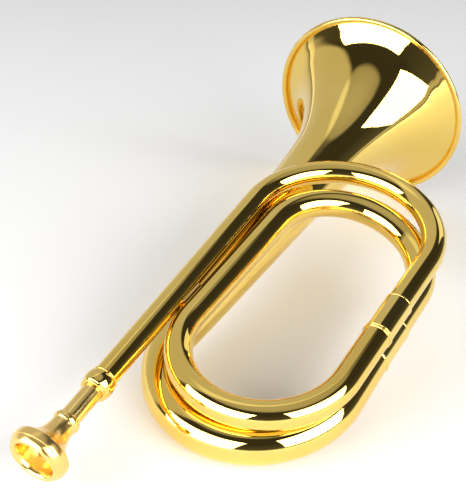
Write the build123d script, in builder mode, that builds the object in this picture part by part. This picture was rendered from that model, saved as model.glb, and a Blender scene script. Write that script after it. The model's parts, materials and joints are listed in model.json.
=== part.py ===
"""Two-coil bugle with a pull-out mouthpiece, lying on its side.

The tube is worked out in the coil's own frame: x runs from the mouthpiece end to the bell,
y from the right branches to the left ones, and z up from the coil. Every bow lies in a flat
sheet that starts at a right branch. The coil frame is then leaned until the bell's rim and
the lowest bow stand on the floor, z = 0, with the origin under the middle of the bugle.
"""
import math
import os

from build123d import *

os.makedirs("parts", exist_ok=True)

# ---- driving sizes, in millimetres and degrees ------------------------------------------
leadpipe_bow_width = 97.4      # right branch to the leadpipe's end, between centres
left_branch_inset = 16.2       # the left branch stands this far inside the leadpipe's end
bell_bow_inset = 8.2           # the bell's bow ends this far inside the leadpipe's end
bottom_line = -87.0            # the bottom bows start here
leadpipe_bow_line = 1.1        # the leadpipe's bow starts here
top_bow_line = -6.8            # the second top bow starts here
leadpipe_length = 141.7
leadpipe_toe_in = 2.45          # the leadpipe leans towards the right branches
bell_toe_out = 1.9             # the bell leans away from the right branches
stem_taper = 0.0635            # growth of the stem's radius for each millimetre
bell_reach = 147.0             # the bell's rim stands this far along the coil
leadpipe_bow_drop = 5.9        # the leadpipe's bow ends this far below its right branch

wall = 0.5
leadpipe_radius = 6.3          # outside radii; each tube is wider than the one before it
left_branch_growth = 0.75      # growth of the radius along a branch
right_branch_2_growth = 0.6
lower_branch_2_growth = 1.1
stem_length = 150.0
flare_throat_share = 0.6       # where the flare's outline turns outwards
flare_throat_rise = 12.0
flare_throat_slope = 0.55      # of the flare's outline there
flare_lip_angle = 62.0
bell_radius = 62.6             # outside of the rolled rim
rim_bead_radius = 1.6
rim_wire_radius = 0.95
rim_flat_depth = 0.25          # the rim's front is dressed flat by this much

ferrule_start = -57.5
ferrule_end = -32.5
ferrule_wall_1 = 0.45          # a lower tube is wider than its upper one by this much
ferrule_wall_2 = 0.6
ferrule_bead = 0.55
solder_gap = 0.3               # between soldered tubes
slip = 0.03                    # radial gap of a tube in its sleeve
solder_width = 3.2
solder_depth = 3.0
solder_length = 14.0
solder_skin = 0.02            # stands off each tube, so that no two solids share a wall
solder_bottom = -86.0
socket_depth = 6.0             # how far an upper branch goes into its ferrule

receiver_length = 9.5
receiver_ring_rise = 0.3       # above the leadpipe's end
receiver_ring_crown = 0.4      # above the ring's foot
receiver_barrel_rise = 1.5
receiver_ring_width = 1.0
receiver_spigot = 14.0
spigot_wall = 0.37
shank_radius = 4.8
shank_clearance = 0.05
shank_inserted = 20.0
shank_exposed = 17.6
shank_wall = 0.6               # at the shank's end
bead_rise = 1.4                # above the shank
bead_width = 2.4
neck_rise = 0.85
cup_wall = 1.95                # the neck's swell half-way to the rim
rim_radius = 13.6
rim_round = 2.6                # rounding of the mouthpiece's rim
rim_thickness = 6.8
rim_band_step = 3.4
mouthpiece_exposed = 42.2
cup_radius = 9.1
cup_depth = 12.9
throat_radius = 1.9
throat_length = 4.0
rim_heel = (0.45, 0.12)        # middle of the curve behind the rim, in roundings and in steps
rim_lip = (0.16, 0.35)         # middle of the curve inside the rim, in roundings
rim_lip_depth = 0.6            # where that curve meets the cup, in roundings
cup_waist = (0.28, 0.66)       # middle of the cup's curve, in its depth and in its radius
quarter_middle = 1 - 0.5**0.5  # a quarter circle's middle, in radii from its corner

# ---- the coil, worked out from those sizes ----------------------------------------------
def tan_deg(angle):
    return math.tan(math.radians(angle))


def drop_tilt(width, drop):
    """Tilt of a sheet that falls by drop over its width."""
    return -math.degrees(math.atan2(drop, width))


def below(partner_y, partner_z, y, spacing):
    """Height at y from which a tube stands under its partner, spacing away."""
    return partner_z - math.sqrt(max(spacing**2 - (partner_y - y) ** 2, 0))


bottom_bow_1_radius = leadpipe_radius + ferrule_wall_1
top_bow_2_radius = bottom_bow_1_radius + left_branch_growth
right_branch_2_radius = top_bow_2_radius + right_branch_2_growth
lower_branch_2_radius = right_branch_2_radius + ferrule_wall_2
bottom_bow_2_radius = lower_branch_2_radius + lower_branch_2_growth
socket_radius = shank_radius + shank_clearance
receiver_end_radius = socket_radius + spigot_wall + slip + wall
receiver_ring_radius = receiver_end_radius + receiver_ring_rise
receiver_barrel_radius = receiver_end_radius + receiver_barrel_rise
neck_radius = shank_radius + neck_rise

# the leadpipe's sheet starts at the first right branch
leadpipe_tilt = drop_tilt(leadpipe_bow_width, leadpipe_bow_drop)
leadpipe_turn = 180 + leadpipe_toe_in
leadpipe_bend = leadpipe_bow_width / (1 + math.cos(math.radians(leadpipe_toe_in)))
leadpipe_x = leadpipe_bow_line - leadpipe_bend * math.sin(math.radians(leadpipe_toe_in))

# the left branch touches the leadpipe where the first bottom bow starts
run_to_bottom = leadpipe_x - bottom_line
leadpipe_y = leadpipe_bow_width - run_to_bottom * tan_deg(leadpipe_toe_in)
leadpipe_z = leadpipe_y * tan_deg(leadpipe_tilt)
leadpipe_thinning = (leadpipe_radius - receiver_end_radius) / leadpipe_length
leadpipe_radius_there = leadpipe_radius - leadpipe_thinning * run_to_bottom
left_y = leadpipe_bow_width - left_branch_inset
left_z = below(
    leadpipe_y, leadpipe_z, left_y, leadpipe_radius_there + bottom_bow_1_radius + solder_gap
)

# the second right branch is straight under the first
right_z = -(bottom_bow_1_radius + bottom_bow_2_radius + solder_gap)
bottom_bow_1_tilt = drop_tilt(left_y, -left_z)
bottom_bow_1_bend = math.hypot(left_y, left_z) / 2
top_bow_2_tilt = drop_tilt(left_y, right_z - left_z)
top_bow_2_bend = math.hypot(left_y, right_z - left_z) / 2

# the bell's stem touches the left branch where the second top bow starts
stem_radius_at_top = bottom_bow_2_radius + stem_taper * (top_bow_line - bottom_line)
bell_y = leadpipe_bow_width - bell_bow_inset
bell_y_at_top = bell_y + (top_bow_line - bottom_line) * tan_deg(bell_toe_out)
bell_z_at_top = below(
    left_y, left_z, bell_y_at_top, stem_radius_at_top + top_bow_2_radius + solder_gap
)
bell_tilt = drop_tilt(bell_y_at_top, right_z - bell_z_at_top)
bell_turn = 180 - bell_toe_out
bell_bend = bell_y / math.cos(math.radians(bell_tilt)) / (1 - math.cos(math.radians(bell_turn)))
bell_start_x = bottom_line - bell_bend * math.sin(math.radians(bell_turn))
bell_length = (bell_reach - bell_start_x) / math.cos(math.radians(bell_toe_out))


def sheets(base):
    """Planes of the coil on a base plane: four bow sheets, leadpipe axis and bell axis."""

    def sheet(height, tilt):
        return Plane(base.location * Pos(0, 0, height) * Rot(tilt, 0, 0))

    def axis(start_sheet, x, across, turn):
        return Plane(start_sheet.location * Pos(x, across, 0) * Rot(0, 0, turn))

    planes = {
        "leadpipe_bow": sheet(0, leadpipe_tilt),
        "bottom_bow_1": sheet(0, bottom_bow_1_tilt),
        "top_bow_2": sheet(right_z, top_bow_2_tilt),
        "bottom_bow_2": sheet(right_z, bell_tilt),
        "right_1": sheet(0, 0),
        "right_2": sheet(right_z, 0),
        "left": Plane(base.location * Pos(0, left_y, left_z)),
    }
    leadpipe_across = leadpipe_bend * (1 + math.cos(math.radians(leadpipe_toe_in)))
    planes["leadpipe"] = axis(
        planes["leadpipe_bow"], leadpipe_x, leadpipe_across, 180 + leadpipe_toe_in
    )
    bell_across = bell_bend * (1 - math.cos(math.radians(bell_turn)))
    planes["bell"] = axis(planes["bottom_bow_2"], bell_start_x, bell_across, bell_toe_out)
    return planes


# ---- how the bugle lies on the floor ----------------------------------------------------
flat = sheets(Plane.XY)
mouthpiece_front = leadpipe_length + receiver_length + mouthpiece_exposed
rim_line = bell_length - rim_bead_radius
bow_steps = 36


def bow_balls(sheet, line, bend, side, radius):
    """Balls of the tube's radius along a half turn, from its right end to its left end."""
    balls = []
    for step in range(bow_steps + 1):
        turn = math.pi * step / bow_steps
        x = line + side * bend * math.sin(turn)
        balls.append((sheet.from_local_coords((x, bend - bend * math.cos(turn), 0)), radius))
    return balls


def disc_reach(plane, along, radius, edge, direction):
    """Farthest point of a round rim in a direction: its edge's centre, moved by the edge."""
    centre = plane.from_local_coords((along, 0, 0))
    spread = direction - plane.x_dir * direction.dot(plane.x_dir)
    return centre + spread.normalized() * (radius - edge) + direction * edge


def ball_reach(balls, direction):
    centre, radius = max(balls, key=lambda ball: ball[0].dot(direction) + ball[1])
    return centre + direction * radius


lowest_bow = bow_balls(flat["bottom_bow_2"], bottom_line, bell_bend, -1, bottom_bow_2_radius)
right_half = lowest_bow[: bow_steps // 2]
left_half = lowest_bow[bow_steps // 2 :]
up = Vector(0, 0, 1)
for _ in range(15):
    bell_foot = disc_reach(flat["bell"], rim_line, bell_radius, rim_bead_radius, -up)
    right_foot = ball_reach(right_half, -up)
    left_foot = ball_reach(left_half, -up)
    up = (bell_foot - right_foot).cross(left_foot - right_foot).normalized()
    up = up if up.Z > 0 else -up

forward = Vector(1, 0, 0) - up * up.X
forward = forward.normalized()
side = up.cross(forward)
all_balls = lowest_bow
all_balls += bow_balls(
    flat["leadpipe_bow"], leadpipe_bow_line, leadpipe_bend, 1, leadpipe_radius
)
all_balls += bow_balls(
    flat["bottom_bow_1"], bottom_line, bottom_bow_1_bend, -1, bottom_bow_1_radius
)


def farthest(direction):
    """How far the whole bugle reaches in a direction of the coil's frame."""
    points = [
        ball_reach(all_balls, direction),
        disc_reach(flat["bell"], rim_line, bell_radius, rim_bead_radius, direction),
        disc_reach(flat["leadpipe"], mouthpiece_front - rim_round, rim_radius, rim_round, direction),
    ]
    return max(point.dot(direction) for point in points)


middle_x = (farthest(forward) - farthest(-forward)) / 2
middle_y = (farthest(side) - farthest(-side)) / 2
floor = -farthest(-up)


def stand(direction):
    """A direction of the coil's frame, seen from the floor."""
    return Vector(direction.dot(forward), direction.dot(side), direction.dot(up))


coil = Plane(
    origin=(-middle_x, -middle_y, -floor),
    x_dir=stand(Vector(1, 0, 0)),
    z_dir=stand(Vector(0, 0, 1)),
)
place = sheets(coil)


# ---- ways of making a tube --------------------------------------------------------------
def turned(label, plane, *outlines):
    """Solid of revolution about a plane's x axis, from closed outlines of (along, radius)."""
    with BuildPart() as piece:
        with BuildSketch(plane):
            for outline in outlines:
                with BuildLine():
                    Polyline(*outline, close=True)
                make_face()
        revolve(axis=Axis(plane.origin, plane.x_dir))
    piece.part.label = label
    return piece.part


def tube_outline(start, end, start_radius, end_radius, thickness=wall):
    return [
        (start, start_radius - thickness),
        (start, start_radius),
        (end, end_radius),
        (end, end_radius - thickness),
    ]


def bow(label, sheet, line, bend, radius, turn):
    """Tube bent in its sheet, from its right end at a line; turn is positive to the left."""
    start = Plane(sheet.location * Pos(line, 0, 0) * Rot(0, 90, 0))
    centre = sheet.from_local_coords((line, bend, 0))
    with BuildPart() as piece:
        with BuildSketch(start):
            Circle(radius)
            Circle(radius - wall, mode=Mode.SUBTRACT)
        revolve(axis=Axis(centre, sheet.z_dir * math.copysign(1, turn)), revolution_arc=abs(turn))
    piece.part.label = label
    return piece.part


def keep(part):
    export_step(part, f"parts/{part.label}.step")


# ---- leadpipe and the first right branch ------------------------------------------------
keep(
    turned(
        "leadpipe",
        place["leadpipe"],
        tube_outline(0, leadpipe_length, leadpipe_radius, receiver_end_radius),
    )
)
keep(
    bow(
        "leadpipe_bow",
        place["leadpipe_bow"],
        leadpipe_bow_line,
        leadpipe_bend,
        leadpipe_radius,
        leadpipe_turn,
    )
)
branch_end = ferrule_end - socket_depth
keep(
    turned(
        "right_branch_1",
        place["right_1"],
        tube_outline(branch_end, leadpipe_bow_line, leadpipe_radius, leadpipe_radius),
    )
)


# ---- ferrules: a sleeve over the upper branch, rolled to a bead at its lower end ---------
def ferrule(label, plane, branch_radius, lower_radius):
    """Sleeve whose upper end fits the branch and whose lower end meets the wider tube."""
    bore = branch_radius + slip
    outside = lower_radius + slip
    sleeve_wall = outside - bore
    top_chamfer = sleeve_wall / 2
    seat = lower_radius - wall
    with BuildPart() as piece:
        with BuildSketch(plane):
            with BuildLine():
                Polyline(
                    (ferrule_end, bore),
                    (ferrule_end, outside - top_chamfer),
                    (ferrule_end - top_chamfer * 2, outside),
                    (ferrule_start + 2 * ferrule_bead, outside),
                )
                ThreePointArc(
                    (ferrule_start + 2 * ferrule_bead, outside),
                    (ferrule_start + ferrule_bead, outside + ferrule_bead),
                    (ferrule_start, outside),
                )
                Polyline(
                    (ferrule_start, outside),
                    (ferrule_start, seat),
                    (branch_end - slip, seat),
                    (branch_end - slip, bore),
                    (ferrule_end, bore),
                )
            make_face()
        revolve(axis=Axis(plane.origin, plane.x_dir))
    piece.part.label = label
    return piece.part


keep(ferrule("ferrule_1", place["right_1"], leadpipe_radius, bottom_bow_1_radius))
keep(
    turned(
        "lower_branch_1",
        place["right_1"],
        tube_outline(bottom_line, ferrule_start, bottom_bow_1_radius, bottom_bow_1_radius),
    )
)
keep(
    bow(
        "bottom_bow_1",
        place["bottom_bow_1"],
        bottom_line,
        bottom_bow_1_bend,
        bottom_bow_1_radius,
        -180,
    )
)

# ---- left branch, second top bow and the second right branch -----------------------------
keep(
    turned(
        "left_branch",
        place["left"],
        tube_outline(bottom_line, top_bow_line, bottom_bow_1_radius, top_bow_2_radius),
    )
)
keep(
    bow("top_bow_2", place["top_bow_2"], top_bow_line, top_bow_2_bend, top_bow_2_radius, 180)
)
keep(
    turned(
        "right_branch_2",
        place["right_2"],
        tube_outline(branch_end, top_bow_line, right_branch_2_radius, top_bow_2_radius),
    )
)
keep(ferrule("ferrule_2", place["right_2"], right_branch_2_radius, lower_branch_2_radius))
keep(
    turned(
        "lower_branch_2",
        place["right_2"],
        tube_outline(bottom_line, ferrule_start, bottom_bow_2_radius, lower_branch_2_radius),
    )
)
keep(
    bow(
        "bottom_bow_2",
        place["bottom_bow_2"],
        bottom_line,
        bell_bend,
        bottom_bow_2_radius,
        -bell_turn,
    )
)

# ---- bell: stem, flare, rolled rim and the wire inside it --------------------------------
bell_axis = Axis(place["bell"].origin, place["bell"].x_dir)
stem_end_radius = bottom_bow_2_radius + stem_taper * stem_length
keep(
    turned(
        "bell_stem",
        place["bell"],
        tube_outline(0, stem_length, bottom_bow_2_radius, stem_end_radius),
    )
)

bead_centre = (rim_line, bell_radius - rim_bead_radius)
flare_run = bell_length - stem_length


def flare_edge(inset):
    """One edge of the sheet's section, an inset in from its outside, up to the rolled rim."""
    sine = math.sin(math.radians(flare_lip_angle))
    cosine = math.cos(math.radians(flare_lip_angle))
    lip = rim_bead_radius - wall + inset
    return Spline(
        (stem_length, stem_end_radius - inset),
        (
            stem_length + flare_run * flare_throat_share + inset * flare_throat_slope,
            stem_end_radius + flare_throat_rise - inset,
        ),
        (bead_centre[0] + lip * sine, bead_centre[1] - lip * cosine),
        tangents=[(1, stem_taper), (cosine, sine)],
    )


with BuildPart() as bell_flare:
    with BuildSketch(place["bell"]):
        with BuildLine():
            outer = flare_edge(0)
            inner = flare_edge(wall)
            Line(outer @ 0, inner @ 0)
            Line(outer @ 1, inner @ 1)
        make_face()
        with Locations(bead_centre):
            Circle(rim_bead_radius)
            Circle(rim_bead_radius - wall, mode=Mode.SUBTRACT)
        with Locations((bell_length, bead_centre[1])):
            Rectangle(2 * rim_flat_depth, 2 * rim_bead_radius, mode=Mode.SUBTRACT)
    revolve(axis=bell_axis)
bell_flare.part.label = "bell_flare"
keep(bell_flare.part)

with BuildPart() as rim_wire:
    with BuildSketch(place["bell"]):
        with Locations(bead_centre):
            Circle(rim_wire_radius)
    revolve(axis=bell_axis)
rim_wire.part.label = "rim_wire"
keep(rim_wire.part)

# ---- receiver: a barrel between two rings, with a spigot inside the leadpipe -------------
receiver_plane = Plane(place["leadpipe"].location * Pos(leadpipe_length, 0, 0))
with BuildPart() as mouthpiece_receiver:
    with BuildSketch(receiver_plane):
        with BuildLine():
            narrowest = receiver_end_radius + min(leadpipe_thinning * receiver_spigot, 0)
            spigot = narrowest - wall - slip
            ring = receiver_ring_width
            back_ring = receiver_length - ring
            crown = receiver_ring_radius + receiver_ring_crown
            Polyline(
                (-receiver_spigot, socket_radius),
                (-receiver_spigot, spigot),
                (0, spigot),
                (0, receiver_ring_radius),
            )
            ThreePointArc(
                (0, receiver_ring_radius),
                (ring / 2, crown),
                (ring, receiver_ring_radius),
            )
            ThreePointArc(
                (ring, receiver_ring_radius),
                (receiver_length / 2, receiver_barrel_radius),
                (back_ring, receiver_ring_radius),
            )
            ThreePointArc(
                (back_ring, receiver_ring_radius),
                (back_ring + ring / 2, crown),
                (receiver_length, receiver_ring_radius),
            )
            Polyline(
                (receiver_length, receiver_ring_radius),
                (receiver_length, socket_radius),
                (-receiver_spigot, socket_radius),
            )
        make_face()
    revolve(axis=Axis(receiver_plane.origin, receiver_plane.x_dir))
mouthpiece_receiver.part.label = "mouthpiece_receiver"
keep(mouthpiece_receiver.part)

# ---- mouthpiece: shank, bead, cup and rim ------------------------------------------------
mouth_plane = Plane(receiver_plane.location * Pos(receiver_length, 0, 0))
front = mouthpiece_exposed
bead_end = shank_exposed + bead_width
backbore_radius = shank_radius - shank_wall
rim_back = front - rim_thickness
cup_floor = front - cup_depth
with BuildPart() as mouthpiece:
    with BuildSketch(mouth_plane):
        with BuildLine():
            Polyline(
                (-shank_inserted, backbore_radius),
                (-shank_inserted, shank_radius),
                (shank_exposed, shank_radius),
            )
            ThreePointArc(
                (shank_exposed, shank_radius),
                (shank_exposed + bead_width / 2, shank_radius + bead_rise),
                (bead_end, neck_radius),
            )
            Spline(
                (bead_end, neck_radius),
                (bead_end + (rim_back - bead_end) / 2, shank_radius + cup_wall),
                (rim_back, rim_radius - rim_band_step),
                tangents=[(1, 0), (0.3, 1)],
            )
            ThreePointArc(
                (rim_back, rim_radius - rim_band_step),
                (rim_back + rim_round * rim_heel[0], rim_radius - rim_band_step * rim_heel[1]),
                (rim_back + rim_round, rim_radius),
            )
            Line((rim_back + rim_round, rim_radius), (front - rim_round, rim_radius))
            ThreePointArc(
                (front - rim_round, rim_radius),
                (front - rim_round * quarter_middle, rim_radius - rim_round * quarter_middle),
                (front, rim_radius - rim_round),
            )
            ThreePointArc(
                (front, rim_radius - rim_round),
                (front - rim_round * rim_lip[0], cup_radius + rim_round * rim_lip[1]),
                (front - rim_round * rim_lip_depth, cup_radius),
            )
            Spline(
                (front - rim_round * rim_lip_depth, cup_radius),
                (cup_floor + cup_depth * cup_waist[0], cup_radius * cup_waist[1]),
                (cup_floor, throat_radius),
                tangents=[(-1, -0.1), (-0.55, -1)],
            )
            Polyline(
                (cup_floor, throat_radius),
                (cup_floor - throat_length, throat_radius),
                (-shank_inserted, backbore_radius),
            )
        make_face()
    revolve(axis=Axis(mouth_plane.origin, mouth_plane.x_dir))
mouthpiece.part.label = "mouthpiece"
keep(mouthpiece.part)


# ---- solder between tubes that touch -----------------------------------------------------
def rod(plane, start, end, start_radius, end_radius):
    """The full outside of a tube, with the solder's skin."""
    outline = tube_outline(start, end, start_radius, end_radius, min(start_radius, end_radius))
    return turned("rod", plane, [(x, radius + solder_skin * (radius > wall)) for x, radius in outline])


def solder(label, along, first_centre, second_centre, first_radius, rods):
    """Strip of solder in the crevices between two tubes that run side by side."""
    apart = second_centre - first_centre
    middle = first_centre + apart.normalized() * (first_radius + solder_gap / 2)
    turn = math.degrees(math.atan2(apart.Z, apart.Y))
    start = Plane(coil.location * Pos(along, middle.Y, middle.Z) * Rot(turn, 0, 0) * Rot(0, 90, 0))
    with BuildPart() as piece:
        with BuildSketch(start):
            Ellipse(solder_width, solder_depth)
        extrude(amount=solder_length)
        add(rods, mode=Mode.SUBTRACT)
    piece.part.label = label
    return piece.part


left_rod = rod(place["left"], bottom_line, top_bow_line, bottom_bow_1_radius, top_bow_2_radius)
leadpipe_rod = rod(place["leadpipe"], 0, leadpipe_length, leadpipe_radius, receiver_end_radius)
stem_rod = rod(place["bell"], 0, stem_length, bottom_bow_2_radius, stem_end_radius)
lower_rod_1 = rod(
    place["right_1"], bottom_line, ferrule_start, bottom_bow_1_radius, bottom_bow_1_radius
)
lower_rod_2 = rod(
    place["right_2"], bottom_line, ferrule_start, bottom_bow_2_radius, lower_branch_2_radius
)
left_centre = Vector(0, left_y, left_z)
keep(
    solder(
        "solder_leadpipe",
        solder_bottom,
        left_centre,
        Vector(0, leadpipe_y, leadpipe_z),
        bottom_bow_1_radius,
        [left_rod, leadpipe_rod],
    )
)
keep(
    solder(
        "solder_stem",
        top_bow_line - solder_length,
        left_centre,
        Vector(0, bell_y_at_top, bell_z_at_top),
        top_bow_2_radius,
        [left_rod, stem_rod],
    )
)
keep(
    solder(
        "solder_right",
        solder_bottom,
        Vector(0, 0, 0),
        Vector(0, 0, right_z),
        bottom_bow_1_radius,
        [lower_rod_1, lower_rod_2],
    )
)
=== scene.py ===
"""A two-coil bugle in polished, lacquered brass, lying on its side on a pale floor."""
import json
import math

import bpy
import numpy as np
from mathutils import Matrix, Vector


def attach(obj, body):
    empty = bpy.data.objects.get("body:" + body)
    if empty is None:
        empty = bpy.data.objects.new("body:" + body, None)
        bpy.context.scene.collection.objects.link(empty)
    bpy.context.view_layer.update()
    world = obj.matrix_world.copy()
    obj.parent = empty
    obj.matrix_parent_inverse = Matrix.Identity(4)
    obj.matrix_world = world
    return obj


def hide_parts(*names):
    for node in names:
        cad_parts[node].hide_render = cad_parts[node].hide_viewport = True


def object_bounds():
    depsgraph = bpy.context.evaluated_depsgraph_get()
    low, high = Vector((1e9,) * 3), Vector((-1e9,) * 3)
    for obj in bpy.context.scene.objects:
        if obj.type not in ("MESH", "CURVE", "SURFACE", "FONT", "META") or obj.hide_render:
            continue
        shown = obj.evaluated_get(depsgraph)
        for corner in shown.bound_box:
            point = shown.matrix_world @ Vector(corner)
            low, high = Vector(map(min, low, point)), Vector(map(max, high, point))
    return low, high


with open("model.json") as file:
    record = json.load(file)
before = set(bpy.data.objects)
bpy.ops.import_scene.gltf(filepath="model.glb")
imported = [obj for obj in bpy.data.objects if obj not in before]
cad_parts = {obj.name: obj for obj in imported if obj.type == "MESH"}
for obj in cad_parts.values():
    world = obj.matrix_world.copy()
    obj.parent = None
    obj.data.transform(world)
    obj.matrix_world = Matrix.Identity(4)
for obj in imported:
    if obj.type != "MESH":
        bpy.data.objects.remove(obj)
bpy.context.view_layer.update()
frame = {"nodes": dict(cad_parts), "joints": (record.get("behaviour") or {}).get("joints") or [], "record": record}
nodes = frame["nodes"]

MM = 0.001
AROUND = 112            # points round a tube's section
STEP = 1.3 * MM         # distance between sections along a tube
WALL = 0.5 * MM
END_DEPTH = 0.3 * MM    # how near a tube's end its end ring is looked for
AXIS_PASSES = 3         # times that a tube's axis is found again from its two end rings


# ---- reading the frame ------------------------------------------------------------------
def points_of(node):
    mesh = nodes[node].data
    flat = np.empty(len(mesh.vertices) * 3)
    mesh.vertices.foreach_get("co", flat)
    return flat.reshape(-1, 3)


def unit(v):
    return v / np.linalg.norm(v)


def ring_circle(points):
    """Centre and outer radius of a flat ring of points."""
    mean = points.mean(axis=0)
    across, upright, _ = np.linalg.svd(points - mean, full_matrices=False)[2]
    u, v = (points - mean) @ across, (points - mean) @ upright
    outer = np.hypot(u, v) > np.hypot(u, v).mean()
    u, v = u[outer], v[outer]
    fit = np.linalg.lstsq(np.c_[2 * u, 2 * v, np.ones(len(u))], u * u + v * v, rcond=None)[0]
    radius = math.sqrt(fit[2] + fit[0] ** 2 + fit[1] ** 2)
    return mean + across * fit[0] + upright * fit[1], radius


def straight(node, towards):
    """Both ends of a straight tube as (centre, radius), the second one towards a direction."""
    points = points_of(node)
    along = unit(np.linalg.svd(points - points.mean(axis=0), full_matrices=False)[2][0])
    if along @ towards < 0:
        along = -along
    for _ in range(AXIS_PASSES):
        reach = points @ along
        first = ring_circle(points[reach < reach.min() + END_DEPTH])
        last = ring_circle(points[reach > reach.max() - END_DEPTH])
        along = unit(last[0] - first[0])
    return first, last


pull = np.array(frame["joints"][0]["axis"], float)
bell_mount = next(m for m in frame["record"]["mounts"] if m["name"] == "bell_rim")
bell_way = unit(np.array(bell_mount["axis"], float))
ahead = np.array([1.0, 0.0, 0.0])
leadpipe = straight("leadpipe", -pull)
right_1 = straight("right_branch_1", -ahead)
lower_1 = straight("lower_branch_1", -ahead)
left = straight("left_branch", ahead)
right_2 = straight("right_branch_2", -ahead)
lower_2 = straight("lower_branch_2", -ahead)
stem = straight("bell_stem", ahead)


# ---- centre lines -----------------------------------------------------------------------
def arc(start, end, heading):
    """Points from start to end on the arc that leaves start with a heading."""
    chord = end - start
    lean = math.acos(np.clip(unit(chord) @ heading, -1, 1))
    radius = np.linalg.norm(chord) / (2 * math.sin(lean))
    inward = unit(chord - heading * (chord @ heading))
    count = max(int(2 * lean * radius / STEP), 8)
    turn = np.linspace(0, 2 * lean, count + 1)[:, None]
    return start + heading * radius * np.sin(turn) + inward * radius * (1 - np.cos(turn))


def line(start, end):
    """Points from start to end on a straight line."""
    count = max(int(np.linalg.norm(end - start) / STEP), 2)
    return start + (end - start) * np.linspace(0, 1, count + 1)[:, None]


def joined(parts):
    """Parts of a path as one, without the points that they share."""
    return np.vstack([parts[0]] + [part[1:] for part in parts[1:]])


def lengths(path):
    """Distance along a path of each of its points."""
    return np.r_[0, np.cumsum(np.linalg.norm(np.diff(path, axis=0), axis=1))]


def smooth_curve(x, xs, ys):
    """Monotone cubic through the stations (xs, ys), read at x."""
    xs, ys = np.asarray(xs, float), np.asarray(ys, float)
    step = np.diff(xs)
    slope = np.diff(ys) / step
    tangent = np.zeros(len(xs))
    for i in range(1, len(xs) - 1):
        if slope[i - 1] * slope[i] > 0:
            w1, w2 = 2 * step[i] + step[i - 1], step[i] + 2 * step[i - 1]
            tangent[i] = (w1 + w2) / (w1 / slope[i - 1] + w2 / slope[i])
    tangent[0], tangent[-1] = slope[0], slope[-1]
    i = np.clip(np.searchsorted(xs, x) - 1, 0, len(xs) - 2)
    t = (x - xs[i]) / step[i]
    return (
        ys[i] * (1 + 2 * t) * (1 - t) ** 2
        + tangent[i] * step[i] * t * (1 - t) ** 2
        + ys[i + 1] * t * t * (3 - 2 * t)
        - tangent[i + 1] * step[i] * t * t * (1 - t)
    )


# ---- meshes -----------------------------------------------------------------------------
OFF_TUBE = (0.3, 0.2, 1.0)      # directions that lie off every axis, to start the rings from
OFF_TURNED = (0.2, 0.3, 1.0)


def sections(path):
    """Two directions across the path at each point, carried along without twist."""
    tangent = np.gradient(path, axis=0)
    tangent /= np.linalg.norm(tangent, axis=1)[:, None]
    side = unit(np.cross(tangent[0], OFF_TUBE))
    sides = []
    for t in tangent:
        side = unit(side - t * (side @ t))
        sides.append(side)
    sides = np.array(sides)
    return sides, np.cross(tangent, sides)


def shell(centres, first, second, radii):
    """Grid of points: one ring of AROUND points for each centre."""
    angle = np.arange(AROUND) * 2 * math.pi / AROUND
    ring = first[:, None, :] * np.cos(angle)[None, :, None]
    ring = ring + second[:, None, :] * np.sin(angle)[None, :, None]
    return centres[:, None, :] + ring * np.asarray(radii)[:, None, None]


def piece(name, grid, material, body, stands_for, sharp=35):
    """Mesh from a grid of rings, with the last ring joined to the first."""
    rings = len(grid)
    mesh = bpy.data.meshes.new(name)
    faces = []
    for i in range(rings):
        a, b = i * AROUND, (i + 1) % rings * AROUND
        for k in range(AROUND):
            n = (k + 1) % AROUND
            faces.append((a + k, a + n, b + n, b + k))
    mesh.from_pydata(grid.reshape(-1, 3).tolist(), [], faces)
    mesh.update()
    mesh.shade_smooth()
    mesh.set_sharp_from_angle(angle=math.radians(sharp))
    mesh.materials.append(material)
    made = bpy.data.objects.new(name, mesh)
    bpy.context.scene.collection.objects.link(made)
    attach(made, body)
    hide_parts(*stands_for)


def lathe(name, start, way, profile, material, body, stands_for, sharp=35):
    """Turned piece: profile is a closed outline of (along, radius) in millimetres."""
    profile = np.array(profile) * MM
    across = unit(np.cross(way, OFF_TURNED))
    count = len(profile)
    grid = shell(
        start + way * profile[:, :1],
        np.tile(across, (count, 1)),
        np.tile(np.cross(way, across), (count, 1)),
        profile[:, 1],
    )
    piece(name, grid[::-1], material, body, stands_for, sharp)


def tube(name, path, radii, stands_for):
    """Open tube of even wall along a path."""
    first, second = sections(path)
    outside = shell(path, first, second, radii)
    inside = shell(path, first, second, radii - WALL)
    grid = np.vstack([outside, inside[::-1]])
    piece(name, grid, tube_brass, "horn", stands_for)


def bend(points, count=12):
    """Rounded run through points of an outline, ends kept."""
    points = np.array(points, float)
    s = np.r_[0, np.cumsum(np.linalg.norm(np.diff(points, axis=0), axis=1))]
    t = np.linspace(0, s[-1], count * (len(points) - 1) + 1)
    full = np.vstack([2 * points[0] - points[1], points, 2 * points[-1] - points[-2]])
    out = []
    for x in t:
        i = min(max(int(np.searchsorted(s, x)) - 1, 0), len(points) - 2)
        u = (x - s[i]) / (s[i + 1] - s[i])
        p0, p1, p2, p3 = full[i : i + 4]
        out.append(
            0.5
            * (
                2 * p1
                + (p2 - p0) * u
                + (2 * p0 - 5 * p1 + 4 * p2 - p3) * u * u
                + (3 * p1 - p0 - 3 * p2 + p3) * u**3
            )
        )
    return [tuple(p) for p in out]


def round_between(centre, radius, start, end, count=14):
    """Arc of an outline about (along, radius) centre, from one angle to another in degrees."""
    angles = np.radians(np.linspace(start, end, count))
    return [
        (centre[0] + radius * math.cos(a), centre[1] + radius * math.sin(a)) for a in angles
    ]


def stretch(start, end, count):
    """Straight run of an outline, in equal steps."""
    return [
        (start[0] + (end[0] - start[0]) * t, start[1] + (end[1] - start[1]) * t)
        for t in np.linspace(0, 1, count)
    ]


# ---- materials --------------------------------------------------------------------------
SWELL_DEPTH = 0.6 * MM      # slow waves in the drawn and polished wall
HAIRLINE_DEPTH = 0.01 * MM


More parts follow.
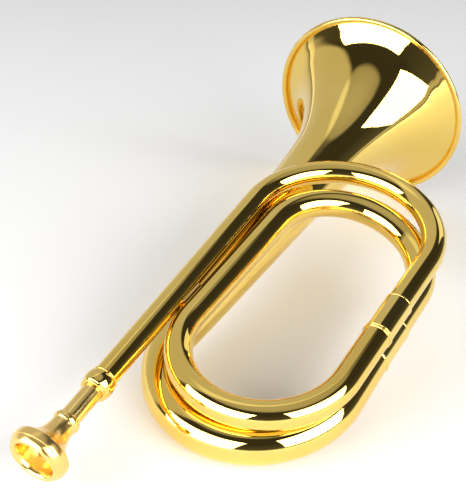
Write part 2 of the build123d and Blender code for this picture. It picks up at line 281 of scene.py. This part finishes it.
def brass(name, light, deep, rough, coat, grain):
    """Polished brass: two golds, hazy patches, hairline scratches and a soft hammered swell.

    rough is the mirror's roughness, coat the weight of its lacquer, grain the hairlines' strength.
    """
    made = bpy.data.materials.new(name)
    made.use_nodes = True
    tree = made.node_tree
    shader = tree.nodes["Principled BSDF"]
    shader.inputs["Metallic"].default_value = 1.0
    shader.inputs["Coat Weight"].default_value = coat
    shader.inputs["Coat Roughness"].default_value = 0.04
    shader.inputs["Coat IOR"].default_value = 1.5
    where = tree.nodes.new("ShaderNodeTexCoord")

    def noise(scale, detail, stretch_by=None):
        """Noise in the piece's own space, drawn out along one direction when it's stretched."""
        node = tree.nodes.new("ShaderNodeTexNoise")
        node.inputs["Scale"].default_value = scale
        node.inputs["Detail"].default_value = detail
        source = where.outputs["Object"]
        if stretch_by is not None:
            mapping = tree.nodes.new("ShaderNodeMapping")
            mapping.inputs["Scale"].default_value = stretch_by
            mapping.inputs["Rotation"].default_value = (0.1, 0.5, 0.7)
            tree.links.new(source, mapping.inputs["Vector"])
            source = mapping.outputs["Vector"]
        tree.links.new(source, node.inputs["Vector"])
        return node.outputs["Fac"]

    def spread(source, low, high, to_low, to_high):
        """A noise's middle stretched to the range from to_low to to_high."""
        node = tree.nodes.new("ShaderNodeMapRange")
        for socket, value in zip(node.inputs[1:5], (low, high, to_low, to_high)):
            socket.default_value = value
        tree.links.new(source, node.inputs["Value"])
        return node.outputs["Result"]

    colour = tree.nodes.new("ShaderNodeMix")
    colour.data_type = "RGBA"
    tree.links.new(spread(noise(scale=22, detail=4), 0.35, 0.65, 0, 1), colour.inputs["Factor"])
    colour.inputs["A"].default_value = (*light, 1)
    colour.inputs["B"].default_value = (*deep, 1)
    tree.links.new(colour.outputs["Result"], shader.inputs["Base Color"])

    haze = spread(noise(scale=45, detail=6), 0.3, 0.75, rough * 0.6, rough * 1.5)
    tree.links.new(haze, shader.inputs["Roughness"])

    swell = tree.nodes.new("ShaderNodeBump")
    swell.inputs["Strength"].default_value = 0.06
    swell.inputs["Distance"].default_value = SWELL_DEPTH
    tree.links.new(noise(scale=60, detail=2), swell.inputs["Height"])
    hair = tree.nodes.new("ShaderNodeBump")
    hair.inputs["Strength"].default_value = grain
    hair.inputs["Distance"].default_value = HAIRLINE_DEPTH
    scratches = noise(scale=900, detail=3, stretch_by=(1, 14, 9))
    tree.links.new(scratches, hair.inputs["Height"])
    tree.links.new(swell.outputs["Normal"], hair.inputs["Normal"])
    tree.links.new(hair.outputs["Normal"], shader.inputs["Normal"])
    return made


tube_brass = brass(
    "lacquered_brass", (0.92, 0.67, 0.18), (0.88, 0.61, 0.14), rough=0.035, coat=0.1, grain=0.06
)
ferrule_brass = brass(
    "ferrule_brass", (0.93, 0.70, 0.21), (0.9, 0.63, 0.16), rough=0.055, coat=0.1, grain=0.1
)
mouth_brass = brass(
    "mouthpiece_brass", (0.98, 0.72, 0.27), (0.96, 0.65, 0.2), rough=0.2, coat=0.08, grain=0.2
)
solder_metal = brass("solder", (0.97, 0.62, 0.2), (0.9, 0.5, 0.14), rough=0.12, coat=0.2, grain=0.3)
wire_metal = brass("rim_wire", (0.6, 0.6, 0.6), (0.5, 0.5, 0.5), rough=0.3, coat=0.0, grain=0.5)

# ---- the three tubes --------------------------------------------------------------------
leadpipe_heading = unit(leadpipe[1][0] - leadpipe[0][0])
left_heading = unit(left[1][0] - left[0][0])
lower_heading_1 = unit(lower_1[1][0] - lower_1[0][0])
lower_heading_2 = unit(lower_2[1][0] - lower_2[0][0])


def stations(parts, radii):
    """Smooth radius along a joined run; radii are (part number, share of it, radius in mm)."""
    path = joined(parts)
    ends = np.r_[0, np.cumsum([lengths(part)[-1] for part in parts])]
    xs = [ends[i] + (ends[i + 1] - ends[i]) * share for i, share, _ in radii]
    return path, smooth_curve(lengths(path), xs, [r * MM for _, _, r in radii])


parts_1 = [
    line(leadpipe[0][0], leadpipe[1][0]),
    arc(leadpipe[1][0], right_1[0][0], leadpipe_heading),
    line(right_1[0][0], right_1[1][0]),
]
path_1, radii_1 = stations(
    parts_1, [(0, 0, 5.76), (0, 1, 6.22), (1, 0.5, 6.32), (2, 0, 6.32), (2, 1, 6.3)]
)
tube("tube_1", path_1, radii_1, ["leadpipe", "leadpipe_bow", "right_branch_1"])

parts_2 = [
    line(lower_1[0][0], lower_1[1][0]),
    arc(lower_1[1][0], left[0][0], lower_heading_1),
    line(left[0][0], left[1][0]),
    arc(left[1][0], right_2[0][0], left_heading),
    line(right_2[0][0], right_2[1][0]),
]
path_2, radii_2 = stations(
    parts_2,
    [
        (0, 0, 6.83), (1, 0, 6.75), (2, 0, 6.78), (2, 1, 7.3),
        (3, 0.5, 7.6), (4, 0, 7.9), (4, 1, 8.1),
    ],
)
tube(
    "tube_2",
    path_2,
    radii_2,
    ["lower_branch_1", "bottom_bow_1", "left_branch", "top_bow_2", "right_branch_2"],
)

# the bell's tube ends in the flare and the rolled rim, drawn on the bell's own axis
RIM_BEAD = 1.6          # radius of the rolled rim
RIM_FLAT = 0.25         # how deep the rim's front is dressed flat
LIP_ANGLE = math.radians(62)
LIP_SHORT = 1.2         # how far before the rim the flare's wall ends
rim_centre_along = (np.array(bell_mount["pos_m"]) - stem[0][0]) @ bell_way / MM
rim_line = rim_centre_along + RIM_FLAT - RIM_BEAD
bell_radius = np.linalg.norm(
    np.cross(np.array(bell_mount["pos_m"]) - stem[0][0], bell_way)
) / MM + RIM_BEAD
bead = np.array([rim_line, bell_radius - RIM_BEAD])
front = np.array([math.sin(LIP_ANGLE), -math.cos(LIP_ANGLE)])
outward = np.array([math.cos(LIP_ANGLE), math.sin(LIP_ANGLE)])
flare_end = bead + front * (RIM_BEAD - WALL / MM) - outward * LIP_SHORT
bell_stations = [                   # (along the bell, radius), from the stem's start
    (0, 10.1), (40, 12.7), (82, 15.2), (128, 18.1), (150, 19.5), (166, 20.9), (178, 23.0),
    (189, 26.2), (199, 30.2), (208, 34.7), (217, 40.4), (225, 47.2), (231, 54.6),
    tuple(flare_end),
]
bell_run = np.array(bend(bell_stations, 14))
tilt = np.gradient(bell_run, axis=0)
tilt /= np.linalg.norm(tilt, axis=1)[:, None]
bell_inside = bell_run + np.c_[tilt[:, 1], -tilt[:, 0]] * (WALL / MM)
crease = math.degrees(math.atan2(*(flare_end - bead)[::-1]))
lip = math.degrees(math.atan2(front[1], front[0]))
bead_round = round_between(bead, RIM_BEAD, crease, lip - 360, 60)    # round the back
parts_3 = [
    line(lower_2[0][0], lower_2[1][0]),
    arc(lower_2[1][0], stem[0][0], lower_heading_2),
]
path_3, radii_3 = stations(parts_3, [(0, 0, 8.7), (1, 0, 9.45), (1, 0.5, 9.85), (1, 1, 10.1)])
first_3, second_3 = sections(path_3)


def on_bell(outline):
    """Rings about the bell's axis from an outline of (along, radius) in millimetres."""
    outline = np.array(outline) * MM
    across = unit(first_3[-1] - bell_way * (first_3[-1] @ bell_way))
    count = len(outline)
    return shell(
        stem[0][0] + bell_way * outline[:, :1],
        np.tile(across, (count, 1)),
        np.tile(np.cross(bell_way, across), (count, 1)),
        outline[:, 1],
    )


grid_3 = np.vstack(
    [
        shell(path_3, first_3, second_3, radii_3),
        on_bell(bell_run[1:]),
        on_bell(bead_round[1:]),
        on_bell(bell_inside[::-1]),
        shell(path_3, first_3, second_3, radii_3 - WALL)[::-1][1:],
    ]
)
piece(
    "tube_3_bell",
    grid_3,
    tube_brass,
    "horn",
    ["lower_branch_2", "bottom_bow_2", "bell_stem", "bell_flare"],
)


# ---- ferrules and receiver --------------------------------------------------------------
SLEEVE_LENGTH = 25.0
SLEEVE_GAP = 0.03           # between a sleeve's bore and its branch
BEAD_SPACE = 0.12           # between two beads
TOP_BEAD = 0.8              # width of the small bead at a sleeve's upper end
TOP_BEAD_HEIGHT = 0.16
TOP_BEAD_SETBACK = 0.1      # of the small bead from the sleeve's end
EDGE = 0.1                  # rounding of that end
EDGE_DROP = 0.12            # of the rounding's centre under the sleeve's outside


def half_round(start, width, foot, height, count):
    """Bead of an outline: half an ellipse that stands on a foot radius."""
    return [
        (start + width * (0.5 - 0.5 * math.cos(a)), foot + height * math.sin(a))
        for a in np.linspace(0, math.pi, count)
    ]


def ferrule(node, lower_end, heading, branch_radius, sleeve_radius, bead_height, beads):
    """Sleeve from the lower tube's end up over the branch, with rolled beads at its foot."""
    top = SLEEVE_LENGTH
    bore = branch_radius + SLEEVE_GAP
    top_bead_start = top - TOP_BEAD_SETBACK - TOP_BEAD
    run = []
    spot = 0.0
    for width in beads:
        run += half_round(spot, width, sleeve_radius, bead_height, 15)
        spot += width + BEAD_SPACE
    run += stretch((spot, sleeve_radius), (top_bead_start, sleeve_radius), 26)
    run += half_round(top_bead_start, TOP_BEAD, sleeve_radius, TOP_BEAD_HEIGHT, 9)
    run += round_between((top - EDGE, sleeve_radius - EDGE_DROP), EDGE, 80, 0, 4)
    run += stretch((top, bore), (0, bore), 26)
    lathe(
        f"sleeve_of_{node}", lower_end, -heading, run, ferrule_brass, "horn", [node]
    )


ferrule(
    "ferrule_1",
    lower_1[0][0],
    lower_heading_1,
    branch_radius=6.3,
    sleeve_radius=6.84,
    bead_height=0.5,
    beads=(1.25, 1.0),
)
ferrule(
    "ferrule_2",
    lower_2[0][0],
    lower_heading_2,
    branch_radius=8.1,
    sleeve_radius=8.68,
    bead_height=0.45,
    beads=(1.4,),
)

RECEIVER_LENGTH = 9.5
RING_WIDTH, RING_FOOT, RING_RISE = 1.0, 6.05, 0.42
SOCKET, SPIGOT = 4.85, 5.2          # radii of the receiver's bore and of its spigot
SPIGOT_END = -14.0                  # the spigot goes this far into the leadpipe
receiver_start = leadpipe[0][0]
last_ring = RECEIVER_LENGTH - RING_WIDTH
receiver_outline = stretch((0, 5.0), (0, RING_FOOT - 0.05), 3)
receiver_outline += half_round(0, RING_WIDTH, RING_FOOT, RING_RISE, 14)
receiver_outline += bend(
    [(1.05, 6.12), (1.6, 6.6), (2.9, 7.05), (4.75, 7.25), (6.6, 7.05), (7.9, 6.6), (8.45, 6.12)], 8
)
receiver_outline += half_round(last_ring, RING_WIDTH, RING_FOOT, RING_RISE, 14)
receiver_outline += stretch((RECEIVER_LENGTH, 6.0), (RECEIVER_LENGTH, 4.9), 4)
receiver_outline += stretch((RECEIVER_LENGTH - 0.1, SOCKET), (SPIGOT_END, SOCKET), 16)
receiver_outline += stretch((SPIGOT_END, SPIGOT), (-0.05, SPIGOT), 14)
lathe(
    "receiver",
    receiver_start,
    pull,
    receiver_outline,
    ferrule_brass,
    "horn",
    ["mouthpiece_receiver"],
)

# ---- mouthpiece -------------------------------------------------------------------------
SHANK, SHANK_END = 4.8, -20.0       # the shank's radius, and how far it goes into the receiver
BACKBORE_END = 4.2                  # radius of the bore at the shank's end
THROAT = 1.9
shank = stretch((SHANK_END, BACKBORE_END), (SHANK_END, SHANK - 0.08), 3)
shank += [(SHANK_END + 0.1, SHANK)]
shank += stretch((SHANK_END + 0.5, SHANK), (17.2, SHANK + 0.02), 30)
bead_ring = bend(
    [(17.35, 5.0), (17.5, 5.7), (18.1, 6.12), (19.0, 6.22), (19.9, 6.12), (20.6, 5.75)], 6
)
neck = bend(
    [(20.8, 5.6), (22.3, 5.62), (25.0, 5.93), (28.0, 6.75), (30.4, 7.95), (33.0, 10.3), (34.6, 12.3)],
    8,
)
rim_side = bend([(34.75, 12.75), (35.2, 13.25), (36.0, 13.5), (38.0, 13.6), (38.9, 13.5)], 7)
rim_face = bend(
    [
        (39.0, 13.3), (39.15, 13.15), (39.9, 12.95), (41.0, 12.4), (41.9, 11.6),
        (42.2, 10.9), (42.0, 10.2), (41.3, 9.6), (40.2, 9.15),
    ],
    8,
)
cup = bend(
    [(39.6, 9.0), (37.2, 8.65), (34.8, 7.9), (32.6, 6.7), (31.0, 5.2), (30.0, 3.6), (29.3, 2.2)], 9
)
bore = stretch((28.8, THROAT), (24.5, THROAT), 5)
bore += stretch((23.5, THROAT + 0.05), (SHANK_END + 0.1, BACKBORE_END), 20)
lathe(
    "mouthpiece_turned",
    receiver_start + pull * RECEIVER_LENGTH * MM,
    pull,
    shank + bead_ring + neck + rim_side + rim_face + cup + bore,
    mouth_brass,
    "mouthpiece",
    ["mouthpiece"],
    28,
)

for name, obj in nodes.items():
    metal = wire_metal if name == "rim_wire" else solder_metal
    for used in obj.material_slots:
        used.material = metal

# ---- floor, light and camera ------------------------------------------------------------
FLOOR_REACH = 6.0       # half the floor's side, in metres
FLOOR_GAP = 0.1 * MM    # under the bugle's lowest point
low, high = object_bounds()
floor_mesh = bpy.data.meshes.new("floor")
floor_mesh.from_pydata(
    [
        (-FLOOR_REACH, -FLOOR_REACH, 0),
        (FLOOR_REACH, -FLOOR_REACH, 0),
        (FLOOR_REACH, FLOOR_REACH, 0),
        (-FLOOR_REACH, FLOOR_REACH, 0),
    ],
    [],
    [(0, 1, 2, 3)],
)
floor = bpy.data.objects.new("floor", floor_mesh)
floor.location.z = low.z - FLOOR_GAP
bpy.context.scene.collection.objects.link(floor)
paper = bpy.data.materials.new("paper")
paper.use_nodes = True
paper.node_tree.nodes["Principled BSDF"].inputs["Base Color"].default_value = (0.8, 0.8, 0.8, 1)
paper.node_tree.nodes["Principled BSDF"].inputs["Roughness"].default_value = 0.9
floor_mesh.materials.append(paper)


def from_sky(azimuth, elevation, distance):
    """A place in the studio, by compass direction from +X and height above the horizon."""
    a, e = math.radians(azimuth), math.radians(elevation)
    return Vector((math.cos(a) * math.cos(e), math.sin(a) * math.cos(e), math.sin(e))) * distance


def softbox(name, azimuth, elevation, width, height, brightness, distance=1.6):
    """Rectangular light that faces the bugle; brightness is what a mirror shows of it."""
    light = bpy.data.lights.new(name, "AREA")
    light.shape = "RECTANGLE"
    light.size, light.size_y = width, height
    light.energy = brightness * math.pi * width * height
    lamp = bpy.data.objects.new(name, light)
    lamp.location = from_sky(azimuth, elevation, distance)
    lamp.rotation_euler = (-lamp.location).to_track_quat("-Z", "Y").to_euler()
    bpy.context.scene.collection.objects.link(lamp)


softbox("softbox_left", azimuth=161, elevation=20, width=1.9, height=1.25, brightness=6.5)
softbox("softbox_right", azimuth=-104, elevation=27, width=1.6, height=1.2, brightness=6.3)
softbox("panel_far", azimuth=-14, elevation=26, width=0.5, height=0.8, brightness=1.0)

world = bpy.data.worlds.new("studio")
bpy.context.scene.world = world
world.use_nodes = True
sky = world.node_tree
height = sky.nodes.new("ShaderNodeSeparateXYZ")
toward = sky.nodes.new("ShaderNodeTexCoord")
sky.links.new(toward.outputs["Generated"], height.inputs["Vector"])
room = sky.nodes.new("ShaderNodeValToRGB")
sky.links.new(height.outputs["Z"], room.inputs["Fac"])
# (sine of the height above the horizon, light): pale skirting, dark walls, pale ceiling
levels = [
    (0.0, 0.6), (0.05, 0.5), (0.075, 0.09), (0.5, 0.04), (0.86, 0.04), (0.9, 0.38), (1.0, 0.5),
]
for spot, (place, level) in enumerate(levels):
    stop = room.color_ramp.elements[spot] if spot < 2 else room.color_ramp.elements.new(place)
    stop.position = place
    stop.color = (level, level, level, 1)


def pale_wall(azimuth, elevation, edge, inner, level, before):
    """Adds a round pale patch of wall to the sky; edge and inner are cosines of its radii."""
    facing = sky.nodes.new("ShaderNodeVectorMath")
    facing.operation = "DOT_PRODUCT"
    facing.inputs[1].default_value = from_sky(azimuth, elevation, 1)
    sky.links.new(toward.outputs["Generated"], facing.inputs[0])
    glow = sky.nodes.new("ShaderNodeMapRange")
    glow.interpolation_type = "SMOOTHSTEP"
    for socket, value in zip(glow.inputs[1:5], (edge, inner, 0.0, level)):
        socket.default_value = value
    sky.links.new(facing.outputs["Value"], glow.inputs["Value"])
    both = sky.nodes.new("ShaderNodeMix")
    both.data_type = "RGBA"
    both.blend_type = "ADD"
    both.inputs["Factor"].default_value = 1
    sky.links.new(before, both.inputs["A"])
    sky.links.new(glow.outputs["Result"], both.inputs["B"])
    return both.outputs["Result"]


lit = pale_wall(
    azimuth=65, elevation=25, edge=0.6, inner=0.7, level=0.55, before=room.outputs["Color"]
)
sky.links.new(lit, sky.nodes["Background"].inputs["Color"])
bpy.context.scene.view_settings.view_transform = "Standard"

# the camera's place and axes in the frame, in metres
camera_data = bpy.data.cameras.new("camera")
camera_data.lens = 70.07
camera_data.sensor_width = 36.0
camera = bpy.data.objects.new("camera", camera_data)
right = Vector((0.524778, -0.850381, 0.038268))
upward = Vector((0.416091, 0.295415, 0.860002))
looking = Vector((0.742658, 0.435329, -0.508898))
eye = Vector((-0.387281, -0.203544, 0.299071))
camera.matrix_world = Matrix(
    (
        (right.x, upward.x, -looking.x, eye.x),
        (right.y, upward.y, -looking.y, eye.y),
        (right.z, upward.z, -looking.z, eye.z),
        (0, 0, 0, 1),
    )
)
bpy.context.scene.collection.objects.link(camera)
bpy.context.scene.camera = camera
bpy.context.view_layer.update()
